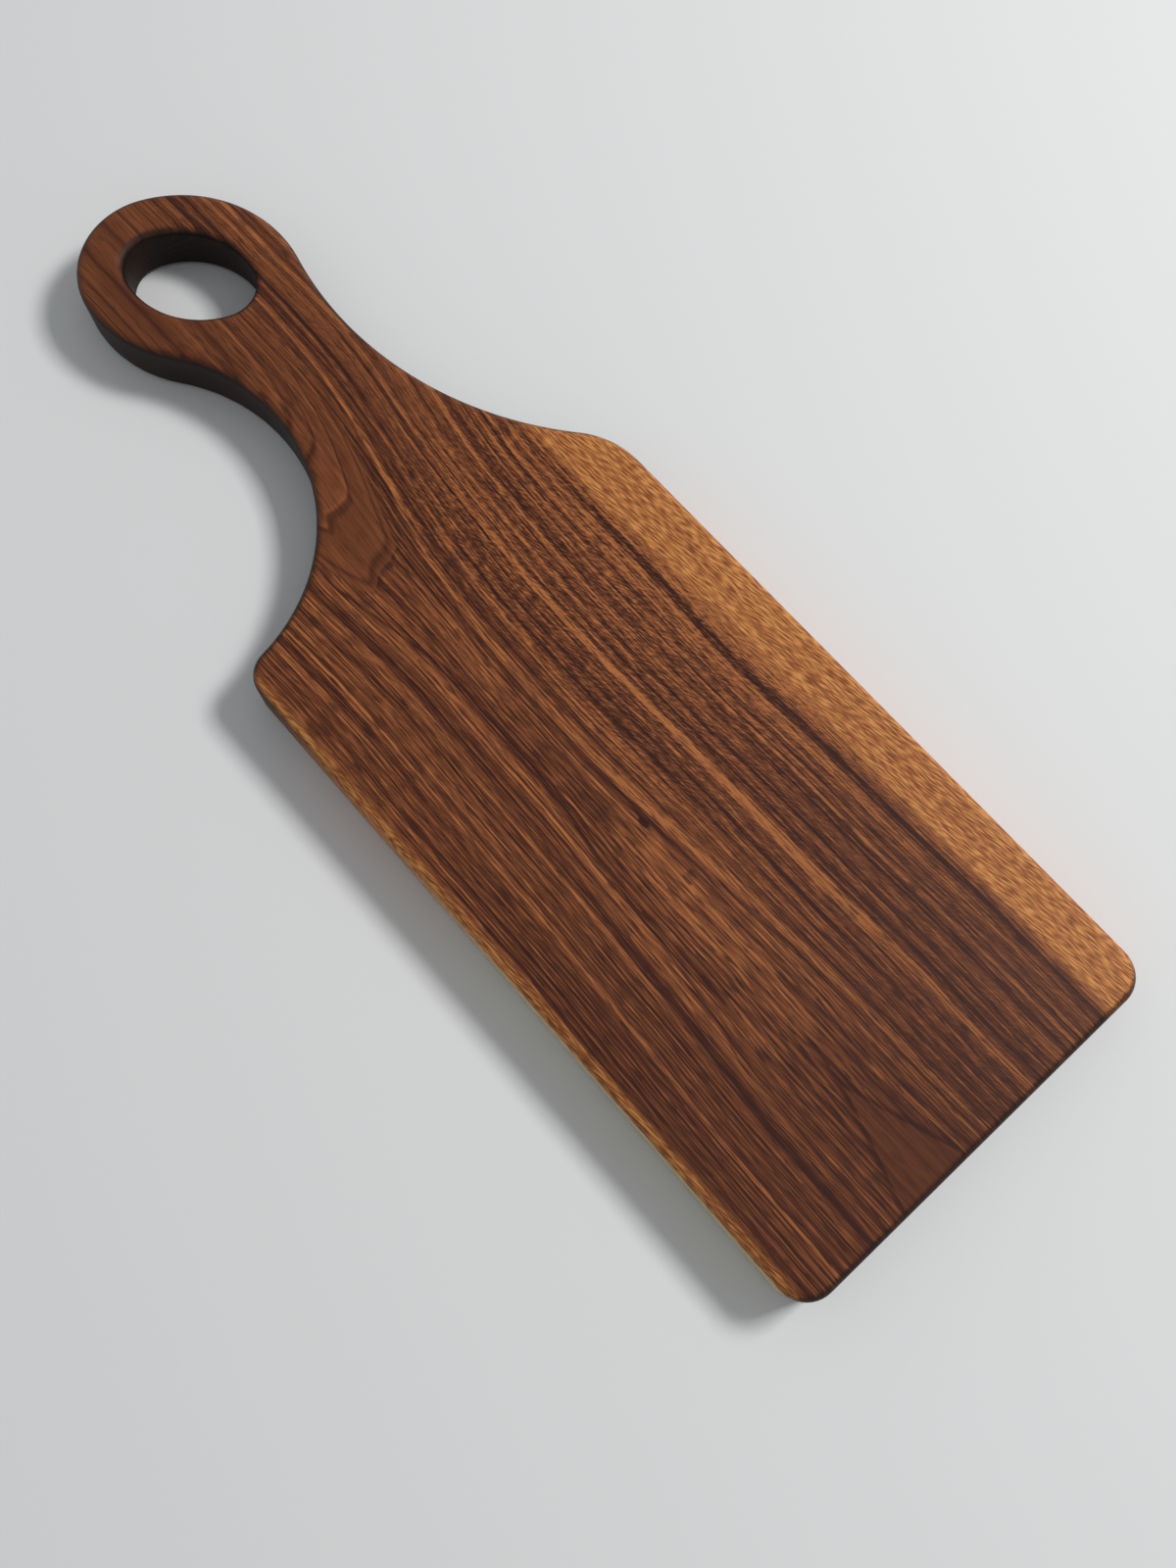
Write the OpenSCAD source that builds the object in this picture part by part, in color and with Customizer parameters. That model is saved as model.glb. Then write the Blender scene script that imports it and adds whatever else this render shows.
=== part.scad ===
// Paddle serving board, shaped from one plank and rounded along every edge.
// X runs from the handle to the blade end, Y towards the sloping shoulder and Z up from the table.
// The outline is a chain of tangent arcs, drawn with the blade end at X = 0 and then centred.

/* [Blade] */
// Width across the two straight edges of the blade
blade_w = 152; // [135:1:170]
// Thickness of the plank
plank_t = 20; // [14:0.5:28]
// Round of the two corners at the blade end
end_corner_r = 11; // [6:0.5:20]
// Round along the top and bottom rims of the outline and of the hole
edge_r = 3.2; // [1:0.1:6]

/* [Handle ring] */
// Distance from the blade end to the middle of the finger hole
hole_reach = 401.8; // [380:0.1:430]
// Distance of the finger hole from the middle line of the blade, towards the sloping shoulder
hole_shift = 3.2; // [0:0.1:12]
// Turn of the long way of the finger hole from the middle line, in degrees
hole_turn = 29.5; // [15:0.5:45]
// Long way of the finger hole
hole_l = 49.2; // [44:0.2:56]
// Short way of the finger hole
hole_w = 34.2; // [29:0.2:40]
// Round at the two tips of the finger hole
hole_tip_r = 13.1; // [9:0.1:14]
// Width of the wood round the finger hole
ring_w = 17; // [13:0.5:22]

/* [Sloping shoulder] */
// Straight edge from the blade end to the sloping shoulder
slope_edge_l = 240.8; // [220:0.2:260]
// Round where the straight edge turns into the slope
slope_corner_r = 32.4; // [15:0.2:45]
// Hollow sweep from the slope down to the ring
slope_sweep_r = 132.6; // [110:0.2:170]

/* [Hooked shoulder] */
// Straight edge from the blade end to the hooked shoulder
hook_edge_l = 259.2; // [240:0.2:275]
// Round of the hooked shoulder corner
hook_corner_r = 10.4; // [5:0.2:20]
// Hollow cove between the hooked shoulder and the ring
hook_cove_r = 69.2; // [60:0.2:90]

/* [Smoothness] */
// How far the flats of the outline may lie from its true arcs
outline_sag = 0.03; // [0.02:0.01:0.2]
// Flats across the round of a rim
rim_flats = 6; // [3:1:10]

/* [Build] */
// Sub-part to draw

/* [Hidden] */
walnut = [0.33, 0.2, 0.13];

half_w = blade_w / 2;

// The finger hole is an oval of four arcs, two at its tips and two along its sides
hole_mid = [-hole_reach, hole_shift];
tip_offset = hole_l / 2 - hole_tip_r;
hole_side_r = (pow(tip_offset, 2) + pow(hole_w / 2, 2) - pow(hole_tip_r, 2)) / (hole_w - 2 * hole_tip_r);
side_offset = hole_side_r - hole_w / 2;
tip_half_angle = atan2(side_offset, tip_offset);
near_tip_c = hole_mid + polar(tip_offset, hole_turn);
far_tip_c = hole_mid - polar(tip_offset, hole_turn);
slope_side_c = hole_mid - polar(side_offset, hole_turn + 90);
hook_side_c = hole_mid + polar(side_offset, hole_turn + 90);

// The ring follows the hole at a constant width, so its arcs share the centres of the hole's
ring_tip_r = hole_tip_r + ring_w;
ring_side_r = hole_side_r + ring_w;
near_tip_to = hole_turn + tip_half_angle;
far_tip_from = hole_turn + 180 - tip_half_angle;
far_tip_to = hole_turn + 180 + tip_half_angle;
near_tip_from = hole_turn + 360 - tip_half_angle;

// Centres of the shoulder rounds and of the hollows that touch them and the ring
slope_corner_c = [-slope_edge_l, half_w - slope_corner_r];
hook_corner_c = [-hook_edge_l, hook_corner_r - half_w];
slope_sweep_c = touching(slope_side_c, ring_side_r + slope_sweep_r, slope_corner_c, slope_corner_r + slope_sweep_r);
hook_cove_c = touching(hook_corner_c, hook_corner_r + hook_cove_r, hook_side_c, ring_side_r + hook_cove_r);

// Directions from the swelling arcs towards the hollows that they touch
slope_top = heading(slope_corner_c, slope_sweep_c);
slope_foot = heading(slope_side_c, slope_sweep_c);
hook_foot = heading(hook_side_c, hook_cove_c);
hook_top = heading(hook_corner_c, hook_cove_c);

// Which side of an arc its wood lies on
INSIDE = 1;
OUTSIDE = -1;

// Arcs in order round the board, each with its centre, radius, first angle, last angle and wood side
hook_end_corner = [[-end_corner_r, end_corner_r - half_w], end_corner_r, 270, 360, INSIDE];
slope_end_corner = [[-end_corner_r, half_w - end_corner_r], end_corner_r, 0, 90, INSIDE];
slope_corner = [slope_corner_c, slope_corner_r, 90, slope_top, INSIDE];
slope_sweep = [slope_sweep_c, slope_sweep_r, slope_top + 180, slope_foot + 180, OUTSIDE];
ring_slope_side = [slope_side_c, ring_side_r, slope_foot, far_tip_from, INSIDE];
ring_tip = [far_tip_c, ring_tip_r, far_tip_from, far_tip_to, INSIDE];
ring_hook_side = [hook_side_c, ring_side_r, far_tip_to, hook_foot, INSIDE];
hook_cove = [hook_cove_c, hook_cove_r, hook_foot - 180, hook_top - 180, OUTSIDE];
hook_corner = [hook_corner_c, hook_corner_r, hook_top, 270, INSIDE];
handle_run = [slope_corner, slope_sweep, ring_slope_side, ring_tip, ring_hook_side, hook_cove, hook_corner];

hole_arcs = [
    [near_tip_c, hole_tip_r, near_tip_from - 360, near_tip_to, OUTSIDE],
    [slope_side_c, hole_side_r, near_tip_to, far_tip_from, OUTSIDE],
    [far_tip_c, hole_tip_r, far_tip_from, far_tip_to, OUTSIDE],
    [hook_side_c, hole_side_r, far_tip_to, near_tip_from, OUTSIDE]
];

board_l = ring_tip_r - far_tip_c.x;

function polar(r, angle) = r * [cos(angle), sin(angle)];
function heading(from, to) = (atan2(to.y - from.y, to.x - from.x) + 360) % 360;

// Centre of a circle at known distances from two points, on the left of the way from one to the other
function touching(p, p_dist, q, q_dist) =
    let (gap = norm(q - p), way = (q - p) / gap)
    let (along = (gap + (pow(p_dist, 2) - pow(q_dist, 2)) / gap) / 2)
    let (aside = sqrt(pow(p_dist, 2) - pow(along, 2)))
    p + along * way + aside * [-way.y, way.x];

// Point at a share of the way along an arc, moved into the wood by an inset
function arc_point(arc, share, inset) =
    arc[0] + polar(arc[1] - arc[4] * inset, arc[2] + share * (arc[3] - arc[2]));

// Flats that follow an arc closely enough
function arc_flats(arc) = ceil(abs(arc[3] - arc[2]) / (2 * acos(1 - outline_sag / arc[1])));

// Points along touching arcs, from the end of the first flat on
function chain_points(arcs, inset) = [
    for (arc = arcs)
        let (flats = arc_flats(arc))
        for (i = [1 : flats])
            arc_point(arc, i / flats, inset)
];

// Points along touching arcs that follow a straight edge
function run_points(arcs, inset) = concat([arc_point(arcs[0], 0, inset)], chain_points(arcs, inset));

// Closed outlines of the board and of the finger hole, moved into the wood by an inset
function board_outline(inset) = concat(
    run_points([hook_end_corner], inset),
    run_points([slope_end_corner], inset),
    run_points(handle_run, inset)
);
function hole_outline(inset) = chain_points(hole_arcs, inset);

// Cross-section of the rounded rim from the bottom up, as pairs of inset and height
quarter_round = [for (i = [0 : rim_flats]) edge_r * [1 - sin(90 * i / rim_flats), 1 - cos(90 * i / rim_flats)]];
rim_section = concat(
    quarter_round,
    [for (i = [rim_flats : -1 : 0]) [quarter_round[i][0], plank_t - quarter_round[i][1]]]
);

// The same section carried on straight past both faces, for cutting
hole_section = concat([[edge_r, -edge_r]], rim_section, [[edge_r, plank_t + edge_r]]);

// Solid skinned over outlines that lie one above the other and have the same number of points
module loft(outlines, heights) {
    count = len(outlines[0]);
    top = count * (len(outlines) - 1);
    polyhedron(
        points = [for (k = [0 : len(outlines) - 1]) for (p = outlines[k]) [p.x, p.y, heights[k]]],
        faces = concat(
            [[for (i = [0 : count - 1]) i]],
            [[for (i = [count - 1 : -1 : 0]) top + i]],
            [
                for (base = [0 : count : top - count])
                    for (i = [0 : count - 1])
                        let (j = (i + 1) % count)
                        [base + i, base + count + i, base + count + j, base + j]
            ]
        )
    );
}

// Plank with its outline and its rounded outer rims
module plank() {
    loft([for (s = rim_section) board_outline(s[0])], [for (s = rim_section) s[1]]);
}

// Space of the finger hole, flared at both faces by its rounded rims
module hole_cutter() {
    loft([for (s = hole_section) hole_outline(s[0])], [for (s = hole_section) s[1]]);
}

// The resize takes up what the flats of the ring's tip fall short of the true arc
module board() {
    color(walnut)
        translate([board_l / 2, 0, 0])
            resize([board_l, blade_w, plank_t])
                difference() {
                    plank();
                    hole_cutter();
                }
}

board();
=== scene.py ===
"""Paddle serving board in oiled walnut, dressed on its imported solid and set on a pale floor."""

import logging
import math
from collections.abc import Mapping, Sequence
from dataclasses import dataclass
from typing import Any, NamedTuple

import bmesh
import bpy
from mathutils import Matrix, Vector

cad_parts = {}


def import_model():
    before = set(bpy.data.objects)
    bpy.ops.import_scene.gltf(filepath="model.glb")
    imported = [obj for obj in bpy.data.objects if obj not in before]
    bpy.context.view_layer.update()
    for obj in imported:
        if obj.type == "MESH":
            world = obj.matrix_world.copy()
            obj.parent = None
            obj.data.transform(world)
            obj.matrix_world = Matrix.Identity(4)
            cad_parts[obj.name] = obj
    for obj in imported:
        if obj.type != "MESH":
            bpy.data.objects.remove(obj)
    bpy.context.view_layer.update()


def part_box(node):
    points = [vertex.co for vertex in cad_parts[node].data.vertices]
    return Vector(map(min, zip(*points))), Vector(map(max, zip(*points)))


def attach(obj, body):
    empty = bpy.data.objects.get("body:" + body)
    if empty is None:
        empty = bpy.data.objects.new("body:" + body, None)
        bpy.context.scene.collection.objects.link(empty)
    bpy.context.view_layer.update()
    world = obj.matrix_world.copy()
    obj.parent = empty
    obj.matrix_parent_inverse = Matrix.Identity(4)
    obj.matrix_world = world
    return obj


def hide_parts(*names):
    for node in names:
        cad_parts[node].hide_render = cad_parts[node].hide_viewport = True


log = logging.getLogger("board")

MM = 0.001

Tree = bpy.types.NodeTree
Socket = bpy.types.NodeSocket
# Rising places with a grey level or an sRGB hex colour each
Stops = tuple[tuple[float, float | str], ...]


# Colours and shader nodes


# A range that eases in and out, without a visible line at either end
EASED = {"interpolation_type": "SMOOTHSTEP"}
# Numbers of a Mix node's two colour inputs and of its colour output
MIX_FROM = 6
MIX_TO = 7
MIX_RESULT = 2


def linear(hex_code: str) -> tuple[float, float, float, float]:
    """Turns an sRGB hex colour into the linear colour that shaders take.

    Args:
        hex_code: six hex digits, as in "5a3728".

    Returns:
        Linear red, green, blue and full alpha.
    """
    channels = [int(hex_code[i : i + 2], 16) / 255 for i in (0, 2, 4)]
    straight = [c / 12.92 if c <= 0.04045 else ((c + 0.055) / 1.055) ** 2.4 for c in channels]
    return (*straight, 1.0)


def add(
    tree: Tree,
    kind: str,
    inputs: Sequence[Any] | Mapping[int | str, Any] = (),
    output: int | str = 0,
    stops: Stops = (),
    **settings: Any,
) -> Socket:
    """Adds one shader node with its settings and links.

    Args:
        tree: node tree that gets the node.
        kind: node type without the ShaderNode prefix.
        inputs: values or sockets, in the order of the node's inputs or by their names or numbers.
        output: name or number of the output that the caller goes on with.
        stops: rising places and grey levels or sRGB hex colours of a colour ramp.
        **settings: attributes of the node itself.

    Returns:
        The chosen output socket.
    """
    node = tree.nodes.new("ShaderNode" + kind)
    for name, value in settings.items():
        setattr(node, name, value)
    for key, value in inputs.items() if isinstance(inputs, Mapping) else enumerate(inputs):
        if isinstance(value, Socket):
            tree.links.new(value, node.inputs[key])
        else:
            node.inputs[key].default_value = value
    for number, (place, shade) in enumerate(stops):
        elements = node.color_ramp.elements
        stop = elements[number] if number < 2 else elements.new(1.0)
        stop.position = place
        stop.color = linear(shade) if isinstance(shade, str) else (shade, shade, shade, 1.0)
    return node.outputs[output]


def seen_directly(tree: Tree) -> Socket:
    """Tells the camera's rays and their sharp reflections from the light that falls on the object.

    Args:
        tree: node tree of the floor's material or of the world.

    Returns:
        Socket that is 1 for a ray that shows the backdrop and 0 for one that gathers light.
    """
    rays = add(tree, "LightPath").node.outputs
    seen = add(tree, "Math", (rays["Is Camera Ray"], rays["Is Glossy Ray"]), operation="MAXIMUM")
    return add(tree, "Math", (seen, rays["Is Transmission Ray"]), operation="MAXIMUM")


# Patterns in wood, in millimetres in the board's frame


class Fade(NamedTuple):
    """Two places between which a quality changes, and its level before and after them."""

    start: float
    end: float
    before: float = 0.0
    after: float = 1.0


@dataclass(frozen=True)
class Grain:
    """Noise drawn out along the wood, by the length, width and depth of its cells."""

    length: float
    width: float
    depth: float
    # Span from its lowest to its highest value
    strength: float = 1.0
    detail: float = 0.0
    # Turn across the fibres, in radians
    lean: float = 0.0

    def draw(self, tree: Tree, place: Socket) -> Socket:
        """Draws the noise.

        Args:
            tree: node tree of the material.
            place: the point by length, by width and by depth.

        Returns:
            Shift up or down, zero on average.
        """
        if self.lean:
            place = add(tree, "Mapping", {"Vector": place, "Rotation": (0.0, 0.0, self.lean)})
        cells = (1 / self.length, 1 / self.width, 1 / self.depth)
        place = add(tree, "VectorMath", (place, cells), operation="MULTIPLY")
        noise = add(tree, "TexNoise", {"Vector": place, "Scale": 1.0, "Detail": self.detail})
        return add(tree, "Math", (noise, self.strength, -self.strength / 2), operation="MULTIPLY_ADD")


@dataclass(frozen=True)
class Spot:
    """Sockets that say where a point lies in the plank and among its growth rings."""

    x: Socket
    y: Socket
    # Distance across from the heart line, and distance below the serving face
    across: Socket
    depth: Socket
    # Squared distance from the heart line's ring, below zero inside it
    level: Socket
    # Length along the board, bent to the blunt wavy tips of the arches in the handle
    tip_x: Socket
    # The point by length, by ring and by width, and by length, along the fibres and by depth
    ringwise: Socket
    fibrewise: Socket


@dataclass(frozen=True)
class GrowthRings:
    """Where the growth rings of the plank lie.

    They are troughs round a heart line that runs along the board and sinks towards both ends.
    So the face shows long stripes that close into arches, and the walls and the underside show
    the same rings cut another way.
    """

    thickness: float
    # Line on the face above the middle of the rings, and its sideways drift in the handle
    heart_y: float = -19.5
    heart_drift: Fade = Fade(-40.0, -125.0, 0.0, 6.0)
    # How much faster the rings widen downwards than across
    depth_share: float = 5.0
    # How far the rings have sunk towards the blade end and the handle, as squared distances
    blade_sink: Fade = Fade(31.0, 261.0, 0.0, 480.0)
    handle_sink: Fade = Fade(6.0, -154.0, 0.0, 660.0)
    # Rings wander by a millimetre or two over 50 to 120 mm
    slow_wander: Grain = Grain(120.0, 50.0, 50.0, strength=6.0, detail=1.0)
    quick_wander: Grain = Grain(80.0, 22.0, 30.0, strength=2.0, detail=2.0)
    # Fibres spread apart over the arches by up to this share, and less where the rings sink less than this
    spread: float = 0.5
    spread_sink: float = 60.0
    # Arches in the handle end flat over this half width, a little askew, with waves of 2 to 6 mm
    blunt_half_width: float = 10.5
    blunt_reach: float = 4.0
    blunt_skew: float = 0.3
    blunt_waves: Grain = Grain(20.0, 6.0, 6.0, strength=9.0)

    def find_spot(self, tree: Tree) -> Spot:
        """Works out where a point lies in the plank and among its growth rings.

        Args:
            tree: node tree of the material.

        Returns:
            The point's places, as sockets.
        """
        place = add(tree, "TexCoord", output="Object")
        scaled = add(tree, "VectorMath", {0: place, "Scale": 1 / MM}, operation="SCALE")
        x, y, z = add(tree, "SeparateXYZ", (scaled,)).node.outputs
        depth = add(tree, "Math", (self.thickness, z), operation="SUBTRACT")
        across = self.measure_across(tree, scaled, x, y)
        blade_sink = add(tree, "MapRange", (x, *self.blade_sink), **EASED)
        handle_sink = add(tree, "MapRange", (x, *self.handle_sink), **EASED)
        sink = add(tree, "Math", (blade_sink, handle_sink), operation="ADD")
        squared = add(tree, "Math", (across, across), operation="MULTIPLY")
        below = add(tree, "Math", (depth, depth), operation="MULTIPLY")
        below = add(tree, "Math", (below, self.depth_share, squared), operation="MULTIPLY_ADD")
        level = add(tree, "Math", (below, sink), operation="SUBTRACT")
        # Counted from the lowest ring there is, so it rises smoothly through the heart line's ring
        count = add(tree, "Math", (level, self.handle_sink.after), operation="ADD")
        count = add(tree, "Math", (count, 0.0), operation="MAXIMUM")
        ring = add(tree, "Math", (count,), operation="SQRT")
        # Fibres lean with the stripes at the edges and run straight on through the arches
        reach = add(tree, "Math", (squared, sink), operation="ADD")
        reach = add(tree, "Math", (reach, self.spread_sink), operation="ADD")
        lean = add(tree, "Math", (sink, reach), operation="DIVIDE")
        lean = add(tree, "Math", (lean, -self.spread, 1.0), operation="MULTIPLY_ADD")
        fibre = add(tree, "Math", (across, lean), operation="MULTIPLY")
        ringwise = add(tree, "CombineXYZ", (x, ring, y))
        fibrewise = add(tree, "CombineXYZ", (x, fibre, depth))
        tip_x = self.bend_tips(tree, scaled, x, across)
        return Spot(x, y, across, depth, level, tip_x, ringwise, fibrewise)

    def measure_across(self, tree: Tree, place: Socket, x: Socket, y: Socket) -> Socket:
        """Measures how far a point lies from the wandering heart line.

        Args:
            tree: node tree of the material.
            place: the point in the board's frame.
            x: its length along the board.
            y: its distance from the middle line.

        Returns:
            Distance across, positive towards the sloping side.
        """
        slow = self.slow_wander.draw(tree, place)
        quick = self.quick_wander.draw(tree, place)
        wander = add(tree, "Math", (slow, quick), operation="ADD")
        wander = add(tree, "Math", (wander, self.heart_y), operation="SUBTRACT")
        drift = add(tree, "MapRange", (x, *self.heart_drift), **EASED)
        across = add(tree, "Math", (y, wander), operation="ADD")
        return add(tree, "Math", (across, drift), operation="SUBTRACT")

    def bend_tips(self, tree: Tree, place: Socket, x: Socket, across: Socket) -> Socket:
        """Bends the length along the board to the shape of the arches' tips in the handle.

        Args:
            tree: node tree of the material.
            place: the point in the board's frame.
            x: its length along the board.
            across: its distance across from the heart line.

        Returns:
            Length along the board at which the point's arch has its tip.
        """
        bend = add(tree, "Math", (across, 1 / self.blunt_half_width), operation="MULTIPLY")
        bend = add(tree, "Math", (bend, bend), operation="MULTIPLY")
        bend = add(tree, "Math", (bend, bend), operation="MULTIPLY")
        tip_x = add(tree, "Math", (bend, self.blunt_reach, x), operation="MULTIPLY_ADD")
        tip_x = add(tree, "Math", (across, self.blunt_skew, tip_x), operation="MULTIPLY_ADD")
        waves = self.blunt_waves.draw(tree, place)
        return add(tree, "Math", (waves, tip_x), operation="ADD")


@dataclass(frozen=True)
class RingTones:
    """Tone of each growth ring, from purplish late wood at 0 to golden early wood at 1."""

    # Tones by distance from the heart line, in the middle of the blade
    slope_side: Stops = (
        (0.0, 0.45), (5.0, 0.6), (7.3, 0.25), (8.8, 0.27), (11.0, 0.65), (14.0, 0.67),
        (16.6, 0.23), (17.6, 0.25), (20.5, 0.67), (24.5, 0.41), (27.2, 0.45), (28.3, 0.1),
        (29.5, 0.43), (34.5, 0.55), (36.4, 1.0), (37.6, 0.95), (38.8, 0.2), (40.3, 0.65),
        (41.5, 0.23), (44.0, 0.71), (46.5, 0.25), (49.5, 0.77), (53.0, 0.27), (57.0, 0.75),
        (61.0, 0.52), (64.0, 0.66), (68.4, 0.62), (69.6, 0.05), (70.8, 0.07), (72.0, 0.72),
        (80.0, 0.6),
    )
    hook_side: Stops = (
        (0.0, 0.45), (3.6, 0.4), (4.7, 0.1), (6.0, 0.45), (9.0, 0.64), (12.0, 0.6),
        (15.5, 0.4), (16.8, 0.02), (17.6, 0.06), (19.5, 0.56), (23.0, 0.5), (25.6, 0.18),
        (27.0, 0.44), (30.0, 0.48), (33.9, 0.38), (34.7, 0.88), (35.7, 0.8), (36.3, 0.42),
        (37.5, 0.26), (40.0, 0.44), (42.5, 0.54), (46.0, 0.34), (50.0, 0.5), (54.0, 0.38),
        (80.0, 0.42),
    )
    # Tones inside the heart line's ring, by the share of the deepest sink
    blade_arches: Stops = (
        (0.0, 0.45), (0.04, 0.4), (0.1, 0.52), (0.3, 0.56), (0.42, 0.5), (0.5, 0.44),
        (1.0, 0.44),
    )
    handle_arches: Stops = (
        (0.0, 0.45), (0.16, 0.52), (0.19, 0.26), (0.21, 0.5), (0.385, 0.46), (0.4, 0.27),
        (0.415, 0.3), (0.425, 0.66), (0.44, 0.54), (0.56, 0.53), (0.585, 0.22), (0.61, 0.56),
        (0.7, 0.52), (0.73, 0.2), (0.76, 0.5), (0.9, 0.48), (0.95, 0.25), (1.0, 0.49),
    )
    # Farthest ring, tone between rings and arches, and how the rings' contrast falls in the handle
    reach: float = 80.0
    middle: float = 0.45
    contrast: Fade = Fade(-10.0, -60.0, 0.9, 0.5)
    # Crossing of the heart line from the hooked to the sloping side, and where the handle's half ends
    crossing: Fade = Fade(-1.5, 1.5)
    half_x: float = 10.0
    # How far inside an arch lies that has its tip here, by length along the handle
    tip_rise: float = -0.0087
    tip_share: float = -0.214

    def draw(self, tree: Tree, spot: Spot, deepest: float) -> Socket:
        """Works out the tone of the rings and of the arches inside them.

        Args:
            tree: node tree of the material.
            spot: the point's places.
            deepest: how far the rings sink in the handle, as a squared distance.

        Returns:
            Tone from 0 to 1.
        """
        slope_stops = tuple((distance / self.reach, tone) for distance, tone in self.slope_side)
        hook_stops = tuple((distance / self.reach, tone) for distance, tone in self.hook_side)
        outside = add(tree, "Math", (spot.level, 0.0), operation="MAXIMUM")
        outside = add(tree, "Math", (outside,), operation="SQRT")
        outside = add(tree, "Math", (outside, 1 / self.reach), operation="MULTIPLY")
        slope = add(tree, "ValToRGB", (outside,), stops=slope_stops)
        hook = add(tree, "ValToRGB", (outside,), stops=hook_stops)
        side = add(tree, "MapRange", (spot.across, *self.crossing), **EASED)
        rings = add(tree, "Mix", {0: side, MIX_FROM: hook, MIX_TO: slope}, MIX_RESULT, data_type="RGBA")
        # Arches towards either end, with blunt tips in the handle
        tips = add(tree, "Math", (spot.tip_x, self.tip_rise, self.tip_share), operation="MULTIPLY_ADD")
        within = add(tree, "Math", (spot.level, -1 / deepest), operation="MULTIPLY")
        blade = add(tree, "ValToRGB", (within,), stops=self.blade_arches)
        within = add(tree, "Math", (within, tips), operation="MINIMUM")
        handle = add(tree, "ValToRGB", (within,), stops=self.handle_arches)
        half = add(tree, "Math", (spot.x, self.half_x), operation="GREATER_THAN")
        arches = add(tree, "Mix", {0: half, MIX_FROM: handle, MIX_TO: blade}, MIX_RESULT, data_type="RGBA")
        contrast = add(tree, "MapRange", (spot.x, *self.contrast), **EASED)
        rings = add(tree, "Math", (rings, self.middle), operation="SUBTRACT")
        return add(tree, "Math", (rings, contrast, arches), operation="MULTIPLY_ADD")


@dataclass(frozen=True)
class SmoothTongues:
    """The two tongues where one ring comes up flat to the face, smooth and with a dark line round them."""

    # Straight-sided arrowhead at the blade end: its tip, its half width by length, its loss by depth
    arrow_x: float = 180.0
    arrow_opening: float = 0.33
    arrow_taper: float = 2.0
    # Blunt tongue in the neck: its tip, and the distance from its banks by level
    blunt_x: float = -43.0
    bank_rise: float = -0.06
    bank_share: float = -4.5
    # Smooth wood and the dark line, by distance into the tongue
    edge: Fade = Fade(-0.2, 0.8)
    line_outside: Fade = Fade(-2.4, -0.1)
    line_inside: Fade = Fade(0.5, 0.0)
    # The line is faint in the handle, and the smooth wood fades in the neck and returns in the ring
    line_strength: Fade = Fade(0.0, 60.0, 0.42, 1.0)
    neck: Fade = Fade(-115.0, -75.0, 0.4, 1.0)
    ring: Fade = Fade(-145.0, -165.0, 0.0, 0.9)

    def draw(self, tree: Tree, spot: Spot) -> tuple[Socket, Socket]:
        """Works out where the tongues and their lines lie.

        Args:
            tree: node tree of the material.
            spot: the point's places.

        Returns:
            Share of smooth wood, and share of the dark line.
        """
        width = add(tree, "Math", (spot.across,), operation="ABSOLUTE")
        arrow = add(tree, "Math", (spot.x, self.arrow_x), operation="SUBTRACT")
        arrow = add(tree, "Math", (arrow, self.arrow_opening), operation="MULTIPLY")
        arrow = add(tree, "Math", (arrow, width), operation="SUBTRACT")
        arrow = add(tree, "Math", (spot.depth, -self.arrow_taper, arrow), operation="MULTIPLY_ADD")
        blunt = add(tree, "Math", (self.blunt_x, spot.tip_x), operation="SUBTRACT")
        banks = add(tree, "Math", (spot.level, self.bank_rise, self.bank_share), operation="MULTIPLY_ADD")
        blunt = add(tree, "Math", (blunt, banks), operation="MINIMUM")
        inside = add(tree, "Math", (arrow, blunt), operation="MAXIMUM")
        smooth = add(tree, "MapRange", (inside, *self.edge), **EASED)
        neck = add(tree, "MapRange", (spot.x, *self.neck), **EASED)
        ring = add(tree, "MapRange", (spot.x, *self.ring), **EASED)
        handle = add(tree, "Math", (neck, ring), operation="MAXIMUM")
        smooth = add(tree, "Math", (smooth, handle), operation="MULTIPLY")
        outer = add(tree, "MapRange", (inside, *self.line_outside), **EASED)
        inner = add(tree, "MapRange", (inside, *self.line_inside), **EASED)
        strength = add(tree, "MapRange", (spot.x, *self.line_strength))
        line = add(tree, "Math", (outer, inner), operation="MULTIPLY")
        line = add(tree, "Math", (line, strength), operation="MULTIPLY")
        return smooth, line


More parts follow.
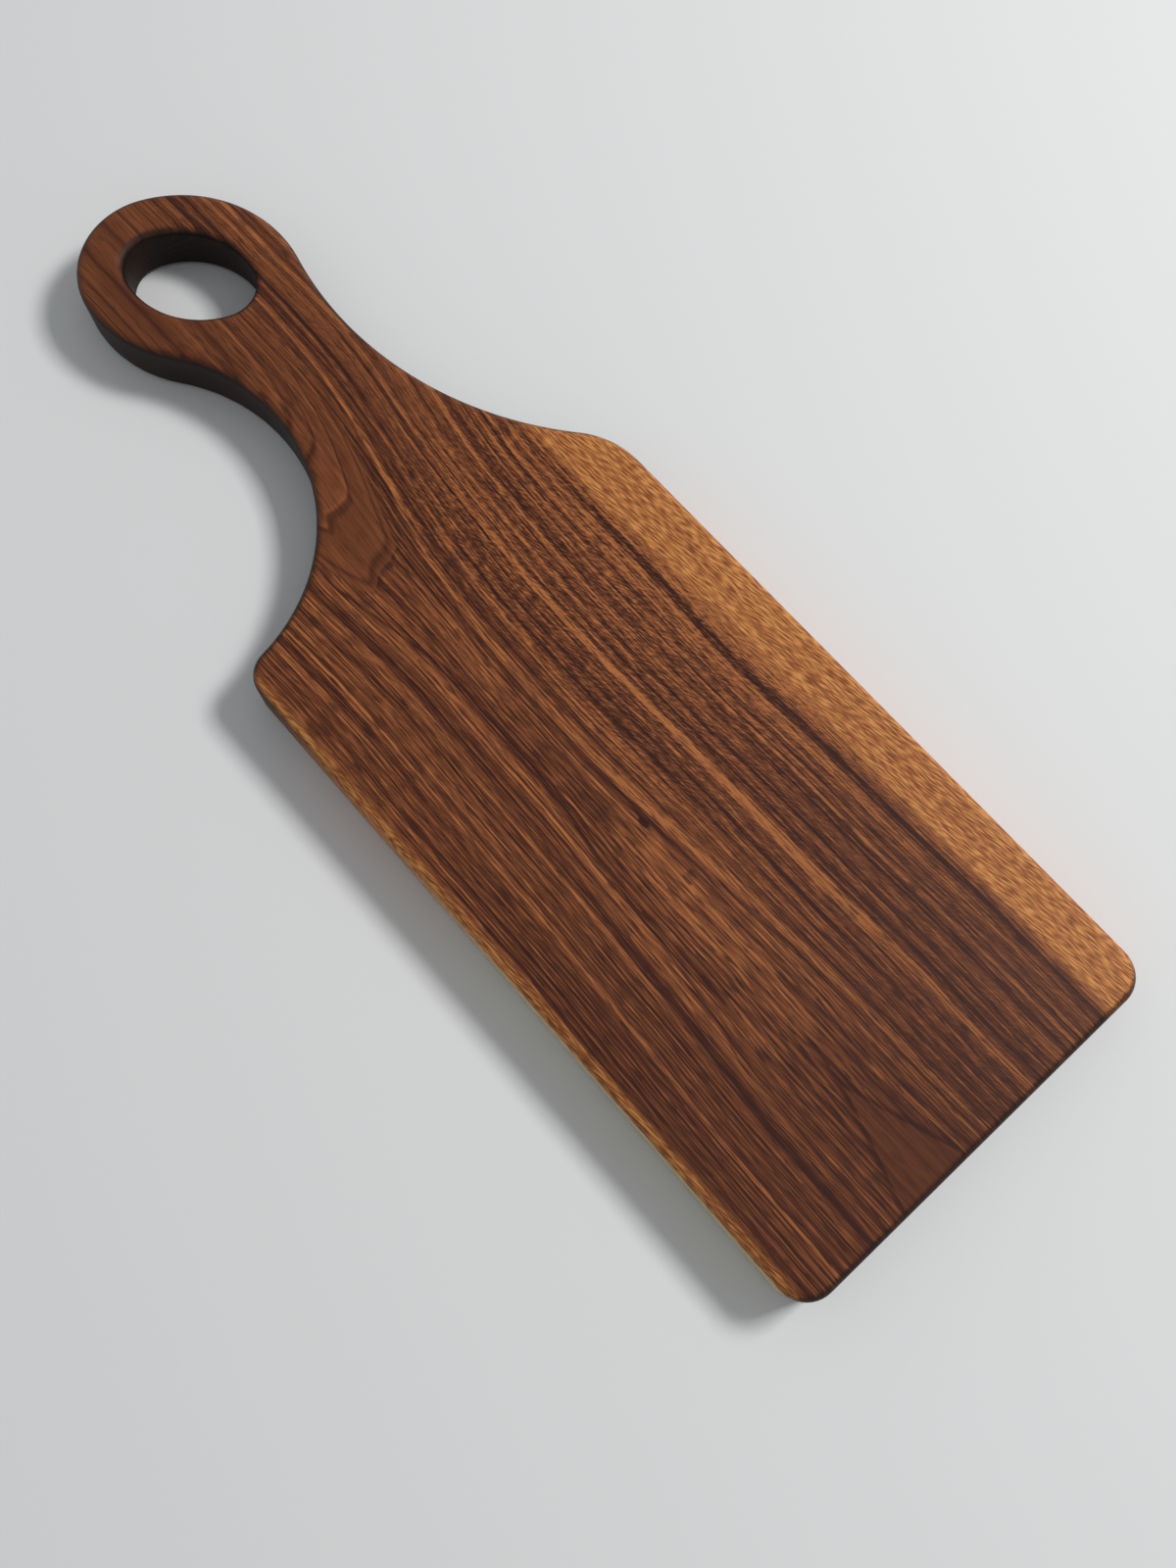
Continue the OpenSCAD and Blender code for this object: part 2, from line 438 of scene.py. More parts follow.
@dataclass(frozen=True)
class FibreGrain:
    """Fine grain of the heartwood, from long streaks to short curly flecks."""

    # Streaks 1 to 2 mm wide that keep to their ring for 100 mm and more
    streaks: Grain = Grain(300.0, 1.8, 90.0, strength=0.95, detail=1.0)
    # They are fainter over the heart line and stronger on the sloping side
    streaks_off_heart: Fade = Fade(3.0, 14.0, 0.2, 1.0)
    streaks_by_side: Fade = Fade(-10.0, 14.0, 0.85, 1.35)
    # Threads under 1 mm wide that run with the fibres for 50 to 150 mm
    threads: Grain = Grain(160.0, 0.8, 2.5, strength=1.75, detail=1.0)
    # Bundles of fibres, drawn 0.5 mm wide because single ones are too fine to show
    bundles: Grain = Grain(9.0, 0.5, 1.5, strength=0.85)
    # The handle's wood is closer and calmer
    calm: Fade = Fade(-35.0, -100.0, 1.0, 0.5)
    # Flecks of curly grain 3 mm long and under 1 mm apart that lean by about 20 degrees
    flecks: Grain = Grain(3.2, 0.5, 2.0, strength=1.9, detail=1.0, lean=-0.36)
    # They show on the sloping side, and fade towards the blade end and in the handle
    flecks_by_side: Fade = Fade(8.0, 34.0, 0.15, 1.0)
    flecks_by_end: Fade = Fade(30.0, 150.0, 1.0, 0.35)
    flecks_by_handle: Fade = Fade(-40.0, -100.0, 1.0, 0.25)

    def draw(self, tree: Tree, spot: Spot) -> Socket:
        """Works out the streaks, threads, bundles and flecks together.

        Args:
            tree: node tree of the material.
            spot: the point's places.

        Returns:
            Shift of tone, up or down.
        """
        width = add(tree, "Math", (spot.across,), operation="ABSOLUTE")
        off_heart = add(tree, "MapRange", (width, *self.streaks_off_heart), **EASED)
        side = add(tree, "MapRange", (spot.across, *self.streaks_by_side), **EASED)
        streaks = self.streaks.draw(tree, spot.ringwise)
        streaks = add(tree, "Math", (streaks, off_heart), operation="MULTIPLY")
        streaks = add(tree, "Math", (streaks, side), operation="MULTIPLY")
        threads = self.threads.draw(tree, spot.fibrewise)
        bundles = self.bundles.draw(tree, spot.fibrewise)
        grain = add(tree, "Math", (threads, bundles), operation="ADD")
        calm = add(tree, "MapRange", (spot.x, *self.calm), **EASED)
        grain = add(tree, "Math", (grain, calm, streaks), operation="MULTIPLY_ADD")
        side = add(tree, "MapRange", (spot.across, *self.flecks_by_side), **EASED)
        end = add(tree, "MapRange", (spot.x, *self.flecks_by_end), **EASED)
        handle = add(tree, "MapRange", (spot.x, *self.flecks_by_handle), **EASED)
        share = add(tree, "Math", (side, end), operation="MULTIPLY")
        share = add(tree, "Math", (share, handle), operation="MULTIPLY")
        flecks = self.flecks.draw(tree, spot.fibrewise)
        return add(tree, "Math", (flecks, share, grain), operation="MULTIPLY_ADD")


@dataclass(frozen=True)
class OpenPores:
    """Pores along the fibres, 0.2 mm wide and 2 to 5 mm long, drawn twice as wide to show."""

    cells: Grain = Grain(7.0, 0.4, 1.0)
    # Heights of the noise between which a pore opens
    opening: Fade = Fade(0.07, 0.17)
    # Share of the pores that smooth wood lacks
    smooth_loss: float = 0.6

    def draw(self, tree: Tree, spot: Spot, smooth: Socket) -> Socket:
        """Works out where the pores lie.

        Args:
            tree: node tree of the material.
            spot: the point's places.
            smooth: share of smooth wood.

        Returns:
            Share of pore.
        """
        cells = self.cells.draw(tree, spot.fibrewise)
        pores = add(tree, "MapRange", (cells, *self.opening), **EASED)
        share = add(tree, "Math", (smooth, -self.smooth_loss, 1.0), operation="MULTIPLY_ADD")
        return add(tree, "Math", (pores, share), operation="MULTIPLY")


@dataclass(frozen=True)
class Sapwood:
    """Pale wood of the plank's two outer edges, golden on the face and cream low on the hooked wall, where
    the cream is partly sapwood and partly painted reflection.
    """

    golden: Stops = ((0.2, "82492a"), (0.5, "b06e3b"), (0.8, "d49251"))
    # Cream of the hooked wall: partly sapwood, partly a painted reflection that lightens the shaded wall
    cream_and_reflection: Stops = ((0.2, "a89a78"), (0.5, "c0b390"), (0.8, "d2c6a4"))
    # Growth lines 3 mm apart, and ripples of 4 mm that are drawn 0.5 mm wide to show
    lines: Grain = Grain(90.0, 3.0, 80.0, strength=0.65, detail=1.0)
    ripples: Grain = Grain(4.0, 0.5, 0.6, strength=1.45, lean=-0.14)
    middle: float = 0.53
    pore_shift: float = -0.25
    # Ragged border with the heartwood
    ragged: Grain = Grain(40.0, 1.5, 6.0, strength=4.0, detail=3.0)
    # On the sloping side: where it begins, how it comes in with depth, and by how much in the handle half
    slope_border: Fade = Fade(56.2, 59.2)
    slope_lean: float = 0.5
    slope_swell: Fade = Fade(90.0, -30.0, 0.0, 3.0)
    # On the hooked side it keeps to the rim and the wall, and its border is less ragged
    hook_border: Fade = Fade(71.6, 74.8)
    hook_lean: float = 0.35
    hook_ragged: float = 0.3
    # Cream comes in towards the blade end, and below the rim; it is partly sapwood and partly a painted
    # reflection that lightens the shaded wall
    cream_reflection_inward: Fade = Fade(10.0, 100.0)
    cream_reflection_below: Fade = Fade(1.5, 5.0)

    def draw(self, tree: Tree, spot: Spot, heartwood: Socket, pores: Socket) -> Socket:
        """Lays the sapwood over the edges of the heartwood.

        Args:
            tree: node tree of the material.
            spot: the point's places.
            heartwood: colour of the heartwood.
            pores: share of pore.

        Returns:
            Colour of the wood.
        """
        lines = self.lines.draw(tree, spot.ringwise)
        ripples = self.ripples.draw(tree, spot.fibrewise)
        tone = add(tree, "Math", (lines, ripples), operation="ADD")
        tone = add(tree, "Math", (tone, self.middle), operation="ADD")
        tone = add(tree, "Math", (pores, self.pore_shift, tone), operation="MULTIPLY_ADD")
        pale = add(tree, "ValToRGB", (tone,), stops=self.golden)
        cream_and_reflection = add(tree, "ValToRGB", (tone,), stops=self.cream_and_reflection)
        slope, hook = self.find_borders(tree, spot)
        # Painted reflection with sapwood: cream low on the hooked wall towards the blade end
        inward = add(tree, "MapRange", (spot.x, *self.cream_reflection_inward), **EASED)
        below = add(tree, "MapRange", (spot.depth, *self.cream_reflection_below), **EASED)
        share = add(tree, "Math", (inward, below), operation="MULTIPLY")
        share = add(tree, "Math", (share, hook), operation="MULTIPLY")
        pale = add(tree, "Mix", {0: share, MIX_FROM: pale, MIX_TO: cream_and_reflection}, MIX_RESULT, data_type="RGBA")
        share = add(tree, "Math", (slope, hook), operation="MAXIMUM")
        return add(tree, "Mix", {0: share, MIX_FROM: heartwood, MIX_TO: pale}, MIX_RESULT, data_type="RGBA")

    def find_borders(self, tree: Tree, spot: Spot) -> tuple[Socket, Socket]:
        """Works out where the sapwood begins on either side.

        Args:
            tree: node tree of the material.
            spot: the point's places.

        Returns:
            Share of sapwood on the sloping side, and on the hooked side.
        """
        ragged = self.ragged.draw(tree, spot.fibrewise)
        slope = add(tree, "Math", (spot.depth, self.slope_lean, spot.y), operation="MULTIPLY_ADD")
        slope = add(tree, "Math", (slope, ragged), operation="ADD")
        swell = add(tree, "MapRange", (spot.x, *self.slope_swell), **EASED)
        slope = add(tree, "Math", (slope, swell), operation="ADD")
        slope = add(tree, "MapRange", (slope, *self.slope_border), **EASED)
        hook = add(tree, "Math", (spot.depth, self.hook_lean), operation="MULTIPLY")
        hook = add(tree, "Math", (ragged, self.hook_ragged, hook), operation="MULTIPLY_ADD")
        hook = add(tree, "Math", (hook, spot.y), operation="SUBTRACT")
        hook = add(tree, "MapRange", (hook, *self.hook_border), **EASED)
        return slope, hook


class Zone(NamedTuple):
    """Soft oval on the serving face where the wood is lighter or darker."""

    x: float
    y: float
    half_length: float
    half_width: float
    shift: float


# Finishes


@dataclass(frozen=True)
class OiledWalnut:
    """Flat-sawn black walnut, planed, sanded and wiped with oil.

    To the eye it is a striped and arched brown figure with pale edges under a soft satin sheen.
    The oil fills the grain without a film, so the open pores still break the surface.
    """

    rings: GrowthRings
    tones: RingTones = RingTones()
    tongues: SmoothTongues = SmoothTongues()
    grain: FibreGrain = FibreGrain()
    pores: OpenPores = OpenPores()
    sapwood: Sapwood = Sapwood()
    # Purple-brown where dark, through red-brown to golden orange in the early wood
    heartwood: Stops = ((0.0, "30120a"), (0.25, "4c2515"), (0.5, "6c3c22"), (0.75, "8d522f"), (1.0, "b06c3c"))
    # Lighter or darker places, the last but one a small dark fleck, and how deep and how sharp they are
    zones: tuple[Zone, ...] = (
        Zone(-8.0, -15.0, 32.0, 5.0, 0.16),
        Zone(44.0, -18.5, 34.0, 5.5, -0.08),
        Zone(122.0, -16.5, 56.0, 6.5, 0.24),
        Zone(152.0, -29.0, 11.0, 2.5, 0.2),
        Zone(126.0, -28.5, 15.0, 3.6, -0.16),
        Zone(171.0, -19.5, 14.0, 4.0, -0.12),
        Zone(78.5, -10.5, 2.4, 1.3, -0.6),
        Zone(-180.0, -30.0, 24.0, 11.0, -0.07),
    )
    zone_depth: float = 8.0
    zone_edge: Fade = Fade(1.15, 0.55)
    # Smooth wood has little grain, and the line round it is dark
    smooth_calm: float = 0.72
    line_shift: float = -0.4
    # The heartwood darkens and turns redder towards the blade end
    end_dim: Fade = Fade(70.0, 190.0, -0.03, 0.07)
    end_share: Fade = Fade(60.0, 215.0, 0.0, 0.32)
    end_colour: str = "4a2619"
    pore_colour: str = "2a150e"
    pore_share: float = 0.7
    # Cut ends and the sawn walls of the handle are nearly black, partly because the end grain drinks more oil
    # and partly as painted shade
    oil_and_shade_colour: str = "17110f"
    ends_by_normal: Fade = Fade(0.1, 0.6, 0.0, 0.8)
    walls_by_normal: Fade = Fade(0.92, 0.4, 0.0, 0.95)
    walls_by_x: Fade = Fade(20.0, -45.0)
    # Cured oil has a refraction of 1.47, and sanding leaves it satin
    ior: float = 1.47
    roughness: float = 0.5
    specular_level: float = 0.15
    # Open pores are about 0.05 mm deep
    pore_depth: float = 0.05
    pore_relief: float = 0.3

    def build(self) -> bpy.types.Material:
        """Builds the material.

        Returns:
            The finished walnut material.
        """
        material = bpy.data.materials.new("oiled_black_walnut")
        material.use_nodes = True
        tree = material.node_tree
        spot = self.rings.find_spot(tree)
        smooth, line = self.tongues.draw(tree, spot)
        pores = self.pores.draw(tree, spot, smooth)
        tone = self.find_tone(tree, spot, smooth, line)
        heart = self.colour_heartwood(tree, spot, tone, pores)
        wood = self.sapwood.draw(tree, spot, heart, pores)
        wood = self.darken_oiled_and_shaded_walls(tree, spot, wood)
        shader = tree.nodes["Principled BSDF"]
        tree.links.new(wood, shader.inputs["Base Color"])
        shader.inputs["Roughness"].default_value = self.roughness
        shader.inputs["IOR"].default_value = self.ior
        shader.inputs["Specular IOR Level"].default_value = self.specular_level
        height = add(tree, "Math", (1.0, pores), operation="SUBTRACT")
        relief = {"Strength": self.pore_relief, "Distance": self.pore_depth * MM, "Height": height}
        tree.links.new(add(tree, "Bump", relief), shader.inputs["Normal"])
        return material

    def find_tone(self, tree: Tree, spot: Spot, smooth: Socket, line: Socket) -> Socket:
        """Works out how light the heartwood is, from dark late wood to golden streaks.

        Args:
            tree: node tree of the material.
            spot: the point's places.
            smooth: share of smooth wood.
            line: share of the dark line round it.

        Returns:
            Tone from 0 to 1.
        """
        tone = self.tones.draw(tree, spot, self.rings.handle_sink.after)
        grain = self.grain.draw(tree, spot)
        rough = add(tree, "Math", (smooth, -self.smooth_calm, 1.0), operation="MULTIPLY_ADD")
        tone = add(tree, "Math", (grain, rough, tone), operation="MULTIPLY_ADD")
        tone = add(tree, "Math", (line, self.line_shift, tone), operation="MULTIPLY_ADD")
        dim = add(tree, "MapRange", (spot.x, *self.end_dim), **EASED)
        tone = add(tree, "Math", (tone, dim), operation="SUBTRACT")
        place = add(tree, "CombineXYZ", (spot.x, spot.across, spot.depth))
        for zone in self.zones:
            middle = (zone.x, zone.y - self.rings.heart_y, 0.0)
            shares = (1 / zone.half_length, 1 / zone.half_width, 1 / self.zone_depth)
            off = add(tree, "VectorMath", (place, middle), operation="SUBTRACT")
            off = add(tree, "VectorMath", (off, shares), operation="MULTIPLY")
            off = add(tree, "VectorMath", (off,), "Value", operation="LENGTH")
            share = add(tree, "MapRange", (off, *self.zone_edge), **EASED)
            tone = add(tree, "Math", (share, zone.shift, tone), operation="MULTIPLY_ADD")
        return tone

    def colour_heartwood(self, tree: Tree, spot: Spot, tone: Socket, pores: Socket) -> Socket:
        """Turns tones into the colours of heartwood, with its dark pores.

        Args:
            tree: node tree of the material.
            spot: the point's places.
            tone: tone from 0 to 1.
            pores: share of pore.

        Returns:
            Colour of the heartwood.
        """
        heart = add(tree, "ValToRGB", (tone,), stops=self.heartwood)
        share = add(tree, "MapRange", (spot.x, *self.end_share), **EASED)
        redder = {0: share, MIX_FROM: heart, MIX_TO: linear(self.end_colour)}
        heart = add(tree, "Mix", redder, MIX_RESULT, data_type="RGBA")
        share = add(tree, "Math", (pores, self.pore_share), operation="MULTIPLY")
        pored = {0: share, MIX_FROM: heart, MIX_TO: linear(self.pore_colour)}
        return add(tree, "Mix", pored, MIX_RESULT, data_type="RGBA")

    def darken_oiled_and_shaded_walls(self, tree: Tree, spot: Spot, wood: Socket) -> Socket:
        """Darkens the cut ends and the sawn walls of the handle, partly for oiled end grain and partly as
        painted shade.

        Args:
            tree: node tree of the material.
            spot: the point's places.
            wood: colour of the wood.

        Returns:
            The colour with darker walls and ends.
        """
        normal = add(tree, "TexCoord", output="Normal")
        along, _, up = add(tree, "SeparateXYZ", (normal,)).node.outputs
        along = add(tree, "Math", (along,), operation="ABSOLUTE")
        up = add(tree, "Math", (up,), operation="ABSOLUTE")
        # Painted shade, with darker oiled end grain: the ends and the handle's upright walls go nearly black
        ends = add(tree, "MapRange", (along, *self.ends_by_normal), **EASED)
        upright = add(tree, "MapRange", (up, *self.walls_by_normal), **EASED)
        handle = add(tree, "MapRange", (spot.x, *self.walls_by_x), **EASED)
        walls = add(tree, "Math", (upright, handle), operation="MULTIPLY")
        share = add(tree, "Math", (ends, walls), operation="MAXIMUM")
        oil_and_shade_mix = {0: share, MIX_FROM: wood, MIX_TO: linear(self.oil_and_shade_colour)}
        return add(tree, "Mix", oil_and_shade_mix, MIX_RESULT, data_type="RGBA")


@dataclass(frozen=True)
class MattPaintedBoard:
    """Board rolled with pale matt paint, for the floor.

    To the eye it is plain and even, without a shine. It carries the shadow and runs out into
    the backdrop.
    """

    colour: str = "e6e6e5"
    roughness: float = 0.9
    backdrop: str = "eef2f6"
    backdrop_strength: float = 0.85
    # Metres from the board's middle over which the camera comes to see the backdrop's plain colour
    run_out: Fade = Fade(0.32, 0.95)

    def build(self) -> bpy.types.Material:
        """Builds the material.

        Returns:
            The floor material.
        """
        material = bpy.data.materials.new("matt_painted_board")
        material.use_nodes = True
        tree = material.node_tree
        shader = tree.nodes["Principled BSDF"]
        shader.inputs["Base Color"].default_value = linear(self.colour)
        shader.inputs["Roughness"].default_value = self.roughness
        place = add(tree, "TexCoord", output="Object")
        away = add(tree, "VectorMath", (place,), "Value", operation="LENGTH")
        far = add(tree, "MapRange", (away, *self.run_out), **EASED)
        share = add(tree, "Math", (far, seen_directly(tree)), operation="MULTIPLY")
        glow = add(tree, "Emission", (linear(self.backdrop), self.backdrop_strength))
        surface = add(tree, "MixShader", (share, shader.outputs["BSDF"], glow))
        tree.links.new(surface, tree.nodes["Material Output"].inputs["Surface"])
        return material


# The board


def polar(radius: float, degrees: float) -> Vector:
    """Returns the point at a radius and an angle round the origin, in the plane of the face."""
    angle = math.radians(degrees)
    return Vector((radius * math.cos(angle), radius * math.sin(angle), 0.0))


def heading(start: Vector, end: Vector) -> float:
    """Returns the direction from one point to another, in degrees from 0 to 360."""
    return math.degrees(math.atan2(end.y - start.y, end.x - start.x)) % 360


def touching(p: Vector, p_distance: float, q: Vector, q_distance: float) -> Vector:
    """Finds the centre of a circle from its distances to two points.

    Args:
        p: first point.
        p_distance: distance from the first point.
        q: second point.
        q_distance: distance from the second point.

    Returns:
        The centre on the left of the way from p to q.
    """
    gap = (q - p).length
    way = (q - p) / gap
    along = (gap + (p_distance**2 - q_distance**2) / gap) / 2
    aside = math.sqrt(p_distance**2 - along**2)
    return p + along * way + aside * Vector((-way.y, way.x, 0.0))


@dataclass(frozen=True)
class Arc:
    """Arc of an outline, from a first to a last angle in degrees."""

    centre: Vector
    radius: float
    first: float
    last: float

    def start(self) -> Vector:
        """Returns the arc's first point."""
        return self.centre + polar(self.radius, self.first)


@dataclass
class PaddleBoard:
    """One plank with a broad blade, two unlike shoulders and a ring handle, in millimetres."""

    # Whole length, width across the blade and thickness
    length: float
    blade_w: float
    thickness: float
    # Rounds of the blade's end corners, and of all the rims
    end_corner_r: float = 11.0
    edge_r: float = 3.2
    # Finger hole: its middle, its turn in degrees, its two widths, its tips, and the wood round it
    hole_reach: float = 401.8
    hole_shift: float = 3.2
    hole_turn: float = 29.5
    hole_l: float = 49.2
    hole_w: float = 34.2
    hole_tip_r: float = 13.1
    ring_w: float = 17.0
    # Sloping shoulder: its distance from the blade end, its corner and its hollow sweep
    slope_edge_l: float = 240.8
    slope_corner_r: float = 32.4
    slope_sweep_r: float = 132.6
    # Hooked shoulder: its distance from the blade end, its corner and its cove
    hook_edge_l: float = 259.2
    hook_corner_r: float = 10.4
    hook_cove_r: float = 69.2
    # Flats: across a rim's round, the longest one along an arc, and the fewest to an arc
    rim_segments: int = 8
    flat_length: float = 1.6
    fewest_flats: int = 6
    # Ends of arcs nearer than this are one point
    join_gap: float = 0.01
    # Least upward share of a normal on the flat faces, and greatest on the walls
    face_normal: float = 0.999
    wall_normal: float = 0.5

    def hole_arcs(self) -> list[Arc]:
        """Works out the oval of the finger hole.

        Returns:
            Its four arcs in order, starting with the tip nearer the blade.
        """
        middle = Vector((self.length / 2 - self.hole_reach, self.hole_shift, 0.0))
        tip_offset = self.hole_l / 2 - self.hole_tip_r
        half_w = self.hole_w / 2
        side_r = (tip_offset**2 + half_w**2 - self.hole_tip_r**2) / (self.hole_w - 2 * self.hole_tip_r)
        side_offset = side_r - half_w
        half_angle = math.degrees(math.atan2(side_offset, tip_offset))
        turn = self.hole_turn
        to_tip = polar(tip_offset, turn)
        to_side = polar(side_offset, turn + 90)
        far_from = turn + 180 - half_angle
        far_to = turn + 180 + half_angle
        return [
            Arc(middle + to_tip, self.hole_tip_r, turn - half_angle, turn + half_angle),
            Arc(middle - to_side, side_r, turn + half_angle, far_from),
            Arc(middle - to_tip, self.hole_tip_r, far_from, far_to),
            Arc(middle + to_side, side_r, far_to, turn + 360 - half_angle),
        ]

    def outline_arcs(self) -> list[Arc]:
        """Works out the outer outline.

        Returns:
            Its arcs in order round the board, starting with the end corner on the hooked side.
        """
        end_x = self.length / 2
        half_w = self.blade_w / 2
        _, slope_side, far_tip, hook_side = self.hole_arcs()
        ring_side_r = slope_side.radius + self.ring_w
        slope_c = Vector((end_x - self.slope_edge_l, half_w - self.slope_corner_r, 0.0))
        hook_c = Vector((end_x - self.hook_edge_l, self.hook_corner_r - half_w, 0.0))
        sweep_r = self.slope_sweep_r
        cove_r = self.hook_cove_r
        sweep_c = touching(slope_side.centre, ring_side_r + sweep_r, slope_c, self.slope_corner_r + sweep_r)
        cove_c = touching(hook_c, self.hook_corner_r + cove_r, hook_side.centre, ring_side_r + cove_r)
        slope_top = heading(slope_c, sweep_c)
        slope_foot = heading(slope_side.centre, sweep_c)
        hook_foot = heading(hook_side.centre, cove_c)
        hook_top = heading(hook_c, cove_c)
        corner = self.end_corner_r
        return [
            Arc(Vector((end_x - corner, corner - half_w, 0.0)), corner, 270, 360),
            Arc(Vector((end_x - corner, half_w - corner, 0.0)), corner, 0, 90),
            Arc(slope_c, self.slope_corner_r, 90, slope_top),
            Arc(sweep_c, sweep_r, slope_top + 180, slope_foot + 180),
            Arc(slope_side.centre, ring_side_r, slope_foot, far_tip.first),
            Arc(far_tip.centre, self.hole_tip_r + self.ring_w, far_tip.first, far_tip.last),
            Arc(hook_side.centre, ring_side_r, far_tip.last, hook_foot),
            Arc(cove_c, cove_r, hook_foot - 180, hook_top - 180),
            Arc(hook_c, self.hook_corner_r, hook_top, 270),
        ]

    def draw_loop(self, bm: bmesh.types.BMesh, arcs: list[Arc]) -> None:
        """Draws one closed loop of edges by spinning a point round the centre of each arc.

        Args:
            bm: mesh that gets the loop.
            arcs: the arcs in order. A straight edge joins two that don't meet.
        """
        point = bmesh.ops.create_vert(bm, co=arcs[0].start())["vert"][0]
        loop = [point]
        for arc in arcs:
            if (point.co - arc.start()).length > self.join_gap:
                point = bmesh.ops.extrude_vert_indiv(bm, verts=[point])["verts"][0]
                point.co = arc.start()
                loop.append(point)
            turn = math.radians(arc.last - arc.first)
            steps = max(self.fewest_flats, math.ceil(abs(turn) * arc.radius / self.flat_length))
            before = set(bm.verts)
            spun = bmesh.ops.spin(
                bm,
                geom=[point],
                cent=arc.centre,
                axis=(0, 0, 1),
                angle=turn,
                steps=steps,
                use_duplicate=False,
            )
            point = next(v for v in spun["geom_last"] if isinstance(v, bmesh.types.BMVert))
            loop.extend(set(bm.verts) - before)
        if (point.co - loop[0].co).length > self.join_gap:
            bmesh.ops.contextual_create(bm, geom=[point, loop[0]])
        bmesh.ops.remove_doubles(bm, verts=loop, dist=self.join_gap)

    def round_rims(self, bm: bmesh.types.BMesh) -> None:
        """Rounds every edge between a wall and a face.

        Args:
            bm: mesh of the sharp-edged plank.
        """
        walls = {f for f in bm.faces if abs(f.normal.z) < self.wall_normal}
        rims = [e for e in bm.edges if len(e.link_faces) == 2 and len(walls.intersection(e.link_faces)) == 1]
        bmesh.ops.bevel(
            bm,
            geom=rims,
            offset=self.edge_r,
            offset_type="OFFSET",
            affect="EDGES",
            segments=self.rim_segments,
            profile=0.5,
            material=-1,
            clamp_overlap=False,
            loop_slide=False,
        )

    def build(self, material: bpy.types.Material) -> bpy.types.Object:
        """Builds the plank: outline and hole drawn flat, extruded, and rounded along every rim.

        Args:
            material: finish of the wood.

        Returns:
            The board's object, in metres.
        """
        bm = bmesh.new()
        self.draw_loop(bm, self.outline_arcs())
        self.draw_loop(bm, self.hole_arcs())
        bmesh.ops.triangle_fill(bm, use_beauty=True, use_dissolve=True, edges=bm.edges[:], normal=(0, 0, 1))
        raised = bmesh.ops.extrude_face_region(bm, geom=bm.faces[:], use_keep_orig=True)
        lifted = [v for v in raised["geom"] if isinstance(v, bmesh.types.BMVert)]
        bmesh.ops.translate(bm, verts=lifted, vec=(0, 0, self.thickness))
        bmesh.ops.recalc_face_normals(bm, faces=bm.faces[:])
        bm.normal_update()
        self.round_rims(bm)
        bm.normal_update()
        for face in bm.faces:
            face.smooth = abs(face.normal.z) < self.face_normal
        bmesh.ops.scale(bm, verts=bm.verts[:], vec=(MM, MM, MM))
        mesh = bpy.data.meshes.new("walnut_plank")
        bm.to_mesh(mesh)
        bm.free()
        mesh.materials.append(material)
        plank = bpy.data.objects.new("walnut_plank", mesh)
        bpy.context.scene.collection.objects.link(plank)
        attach(plank, "root")
        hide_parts("board")
        return plank


# Floor, light and camera


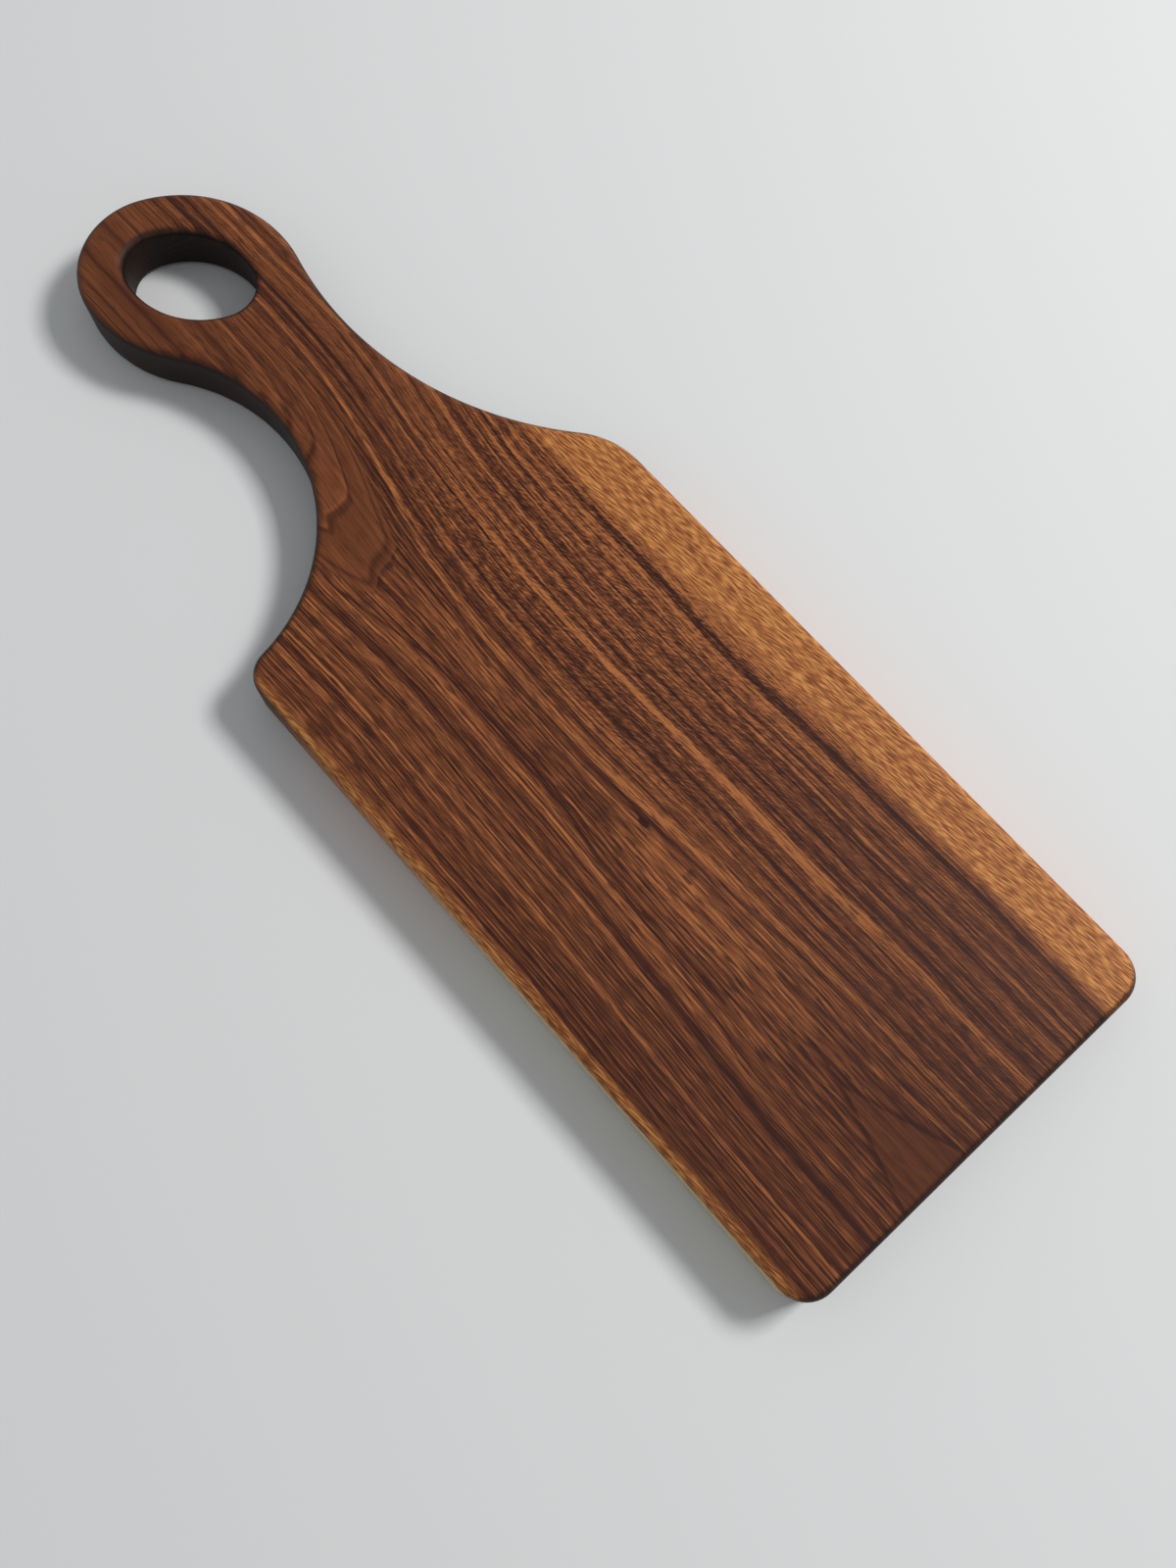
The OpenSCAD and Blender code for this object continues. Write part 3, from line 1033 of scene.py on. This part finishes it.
@dataclass
class Studio:
    """Pale floor, soft daylight from one side and the camera, in metres."""

    floor: MattPaintedBoard = MattPaintedBoard()
    floor_half: float = 6.0
    # Large soft lamp on the sloping side, aimed at the board, and the dimmer fill from all round
    lamp_place: tuple[float, float, float] = (0.55, 1.45, 1.55)
    lamp_size: tuple[float, float] = (0.6, 0.45)
    lamp_watts: float = 34.0
    fill_strength: float = 0.38
    # The camera looks down on the board from above its blade end, on the hooked side
    camera_place: tuple[float, float, float] = (0.1462, -0.1066, 0.4550)
    camera_right: tuple[float, float, float] = (0.6634, 0.7480, 0.0203)
    camera_down: tuple[float, float, float] = (0.7220, -0.6327, -0.2801)
    camera_near: float = 0.01
    # Sensor in millimetres, and the focal length in pixels of a picture of this height
    sensor: float = 36.0
    focal_px: float = 1430.0
    picture_height_px: float = 1600.0

    def build_floor(self) -> bpy.types.Object:
        """Builds the floor that the board lies on.

        Returns:
            The floor's object.
        """
        bm = bmesh.new()
        bmesh.ops.create_grid(bm, x_segments=1, y_segments=1, size=self.floor_half)
        mesh = bpy.data.meshes.new("floor")
        bm.to_mesh(mesh)
        bm.free()
        mesh.materials.append(self.floor.build())
        floor = bpy.data.objects.new("floor", mesh)
        bpy.context.scene.collection.objects.link(floor)
        return floor

    def build_light(self) -> None:
        """Builds the key lamp, and the fill behind the backdrop that the camera sees."""
        lamp = bpy.data.lights.new("window", "AREA")
        lamp.shape = "RECTANGLE"
        lamp.size, lamp.size_y = self.lamp_size
        lamp.energy = self.lamp_watts
        key = bpy.data.objects.new("window", lamp)
        bpy.context.scene.collection.objects.link(key)
        key.location = self.lamp_place
        key.rotation_euler = (-key.location).to_track_quat("-Z", "Y").to_euler()
        world = bpy.data.worlds.new("sky")
        bpy.context.scene.world = world
        world.use_nodes = True
        tree = world.node_tree
        background = tree.nodes["Background"]
        levels = Fade(0.0, 1.0, self.fill_strength, self.floor.backdrop_strength)
        strength = add(tree, "MapRange", (seen_directly(tree), *levels))
        background.inputs["Color"].default_value = linear(self.floor.backdrop)
        tree.links.new(strength, background.inputs["Strength"])

    def build_camera(self) -> None:
        """Builds the camera at the photograph's place and angle."""
        camera = bpy.data.cameras.new("camera")
        camera.sensor_fit = "VERTICAL"
        camera.sensor_height = self.sensor
        camera.sensor_width = self.sensor
        camera.lens = self.focal_px / self.picture_height_px * self.sensor
        camera.clip_start = self.camera_near
        right = Vector(self.camera_right).normalized()
        up = -Vector(self.camera_down).normalized()
        back = right.cross(up).normalized()
        up = back.cross(right)
        turned = Matrix((right, up, back)).transposed().to_4x4()
        item = bpy.data.objects.new("camera", camera)
        item.matrix_world = Matrix.Translation(self.camera_place) @ turned
        bpy.context.scene.collection.objects.link(item)
        bpy.context.scene.camera = item


def main() -> None:
    """Builds the board and the studio, and reports each piece."""
    logging.basicConfig(level=logging.INFO, format="%(name)s: %(message)s")
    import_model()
    low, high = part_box("board")
    length, width, thickness = ((high - low) / MM)[:]
    walnut = OiledWalnut(rings=GrowthRings(thickness=thickness)).build()
    board = PaddleBoard(length=length, blade_w=width, thickness=thickness)
    plank = board.build(walnut)
    log.info("plank: %d faces", len(plank.data.polygons))
    studio = Studio()
    studio.build_floor()
    log.info("floor: %.1f m across", 2 * studio.floor_half)
    studio.build_light()
    log.info("light: %.0f W lamp and fill", studio.lamp_watts)
    studio.build_camera()
    log.info("camera: %.1f mm lens", bpy.context.scene.camera.data.lens)
    bpy.context.scene.view_settings.view_transform = "Standard"
    bpy.context.view_layer.update()


if __name__ == "__main__":
    main()
